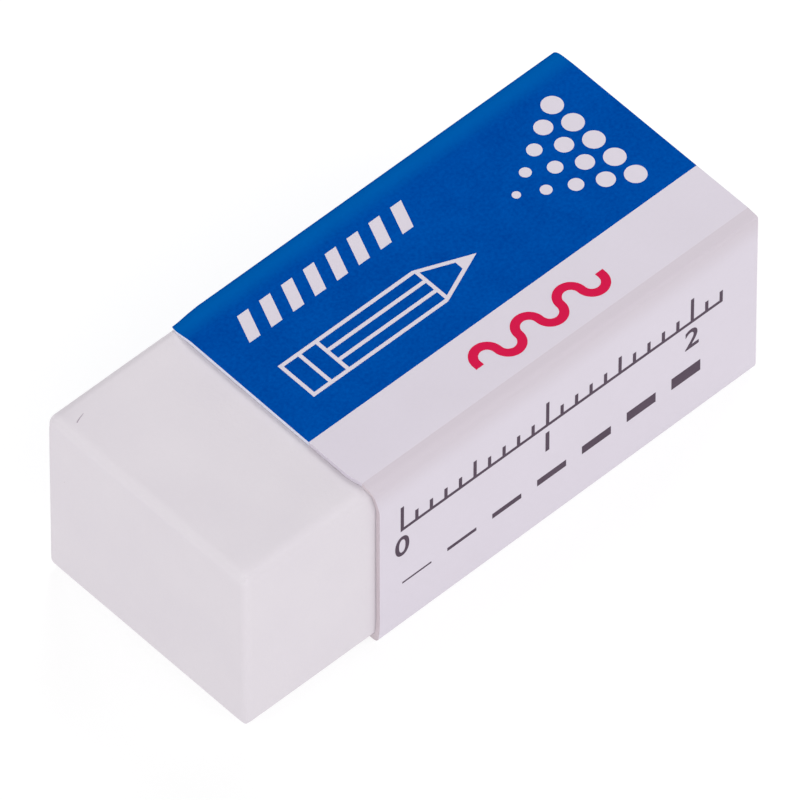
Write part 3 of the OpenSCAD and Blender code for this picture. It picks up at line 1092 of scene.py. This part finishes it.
# %% What lies on the block moves with it
def settle(name, mesh):
    mesh.materials.append(soil)
    piece = link(bpy.data.objects.new(name, mesh))
    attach(piece, "eraser")
    print(name, len(mesh.polygons), "faces")


# %% The hair, thinner towards its loose end
HAIR_R, HAIR_SINK = 0.03, 0.011
HAIR = [(-16.72, 5.9, 1.3), (-16.53, 6.02, 1.25), (-16.3, 6.05, 0.8), (-16.08, 6.14, 0.5)]
strand = bpy.data.curves.new("hair", "CURVE")
strand.dimensions = "3D"
strand.bevel_depth = HAIR_R
strand.bevel_resolution = 2
strand.use_fill_caps = True
spline = strand.splines.new("NURBS")
spline.points.add(3)
for point, (x, y, thickness) in zip(spline.points, HAIR):
    sunk = Vector((0, 0, HAIR_SINK * thickness))
    point.co = (*(on_block(Vector((x, y, block_high.z))) - sunk), 1)
    point.radius = thickness
spline.use_endpoint_u = True
hair_mesh = worked_out(link(bpy.data.objects.new("hair", strand)))
for vertex in hair_mesh.vertices:
    vertex.co *= MM
settle("hair", hair_mesh)

# %% The dust, flattened against the end face
DUST = [(6.08, 7.87, 0.08), (-2.67, 8.08, 0.05), (-4.61, 9.36, 0.05)]
DUST_SINK = 0.015
dust = bmesh.new()
for y, z, size in DUST:
    made = bmesh.ops.create_icosphere(dust, subdivisions=2, radius=size)["verts"]
    bmesh.ops.scale(dust, vec=(0.2, 1, 1.2), verts=made)
    sunk = Vector((DUST_SINK, 0, 0))
    bmesh.ops.translate(dust, vec=on_block(Vector((block_low.x, y, z))) + sunk, verts=made)
dust_mesh = bpy.data.meshes.new("dust")
bmesh.ops.scale(dust, vec=(MM, MM, MM), verts=dust.verts)
dust.to_mesh(dust_mesh)
dust.free()
settle("dust", dust_mesh)

# %% [markdown]
# ## Floor, light and camera
#
# The eraser stands on a white floor in an even, bright room, which is dimmer high up behind it.
# A soft lamp in front fills the near side, and a reflector on the left fills the bare tip. A
# window behind on the right lays the short, soft shadow of the sleeve's mouth on the block.
# What the camera sees of the floor and the world is plain white, with the object's shadow.

# %% Floor
floor_mesh = bpy.data.meshes.new("floor")
FLOOR_HALF, FLOOR_GLOW, EXTRA_SEEN = 1.5, 0.63, 0.12
floor_mesh.from_pydata(
    [(x * FLOOR_HALF, y * FLOOR_HALF, 0) for x, y in ((-1, -1), (1, -1), (1, 1), (-1, 1))],
    [], [(0, 1, 2, 3)],
)
floor_piece = link(bpy.data.objects.new("floor", floor_mesh))
paper_floor = bpy.data.materials.new("floor")
paper_floor.use_nodes = True
tree = paper_floor.node_tree
seen = add(tree, "ShaderNodeLightPath").outputs["Is Camera Ray"]
glow = add(tree, "ShaderNodeMath", {0: seen, 1: EXTRA_SEEN, 2: FLOOR_GLOW},
           operation="MULTIPLY_ADD")
connect(tree, tree.nodes["Principled BSDF"], {
    "Base Color": (0.3, 0.3, 0.3, 1), "Roughness": 0.9, "Specular IOR Level": 0.0,
    "Emission Color": (1, 1, 1, 1), "Emission Strength": glow,
})
floor_mesh.materials.append(paper_floor)
print("floor:", 2 * FLOOR_HALF, "m wide")

# %% World
DIM_SIDE = Vector((0.5, 0.45, 0.75)).normalized()
DIM_FROM, DIM_TO = 0.45, 0.75
BRIGHT, DIM = 1.15, 0.1
world = bpy.data.worlds.new("room")
bpy.context.scene.world = world
world.use_nodes = True
tree = world.node_tree
way = add(tree, "ShaderNodeTexCoord").outputs["Generated"]
behind = add(tree, "ShaderNodeVectorMath", {0: way, 1: DIM_SIDE}, operation="DOT_PRODUCT")
room = add(tree, "ShaderNodeMapRange", {
    "Value": behind.outputs["Value"], "From Min": DIM_FROM, "From Max": DIM_TO,
    "To Min": BRIGHT, "To Max": DIM,
}, interpolation_type="SMOOTHSTEP")
seen = add(tree, "ShaderNodeLightPath").outputs["Is Camera Ray"]
strength = add(tree, "ShaderNodeMix", {"Factor": seen, "A": room, "B": 1.0})
connect(tree, tree.nodes["Background"], {"Strength": strength, "Color": (1, 1, 1, 1)})
print("room:", BRIGHT, "all round and", DIM, "on the dim side")

# %% Lamps, all at one distance: name, direction, size in metres, watts
LAMP_AWAY = 0.6
LAMPS = [
    ("softbox", (0.3, -0.8, 0.45), 0.4, 0.385),
    ("window", (0.5, 0.32, 0.65), 0.3, 1.51),
    ("reflector", (-0.8, -0.15, 0.7), 0.5, 0.15),
]
for name, direction, size, energy in LAMPS:
    lamp_data = bpy.data.lights.new(name, "AREA")
    lamp_data.shape = "SQUARE"
    lamp_data.size = size
    lamp_data.energy = energy
    lamp = link(bpy.data.objects.new(name, lamp_data))
    lamp.location = Vector(direction).normalized() * LAMP_AWAY
    lamp.rotation_euler = (-lamp.location).to_track_quat("-Z", "Y").to_euler()
    print("lamp:", name, energy, "W")

# %% [markdown]
# The view is from the left, looking down at about 51 degrees through a very long lens, so that
# parallel edges stay nearly parallel.

# %% Camera
AZIMUTH, ELEVATION, DISTANCE = radians(-42.77), radians(50.588), 1.2999
toward = Vector((sin(AZIMUTH) * cos(ELEVATION), -cos(AZIMUTH) * cos(ELEVATION), sin(ELEVATION)))
AIM = Vector((1.746, 1.98, 2.157)) * MM
camera_data = bpy.data.cameras.new("camera")
camera_data.lens = 1152.2
camera_data.clip_start = 0.05
camera_data.clip_end = 20
camera = link(bpy.data.objects.new("camera", camera_data))
camera.location = AIM + toward * DISTANCE
camera.rotation_euler = toward.to_track_quat("Z", "Y").to_euler()
bpy.context.scene.camera = camera
bpy.context.scene.view_settings.view_transform = "Standard"
print("camera at", camera.location)
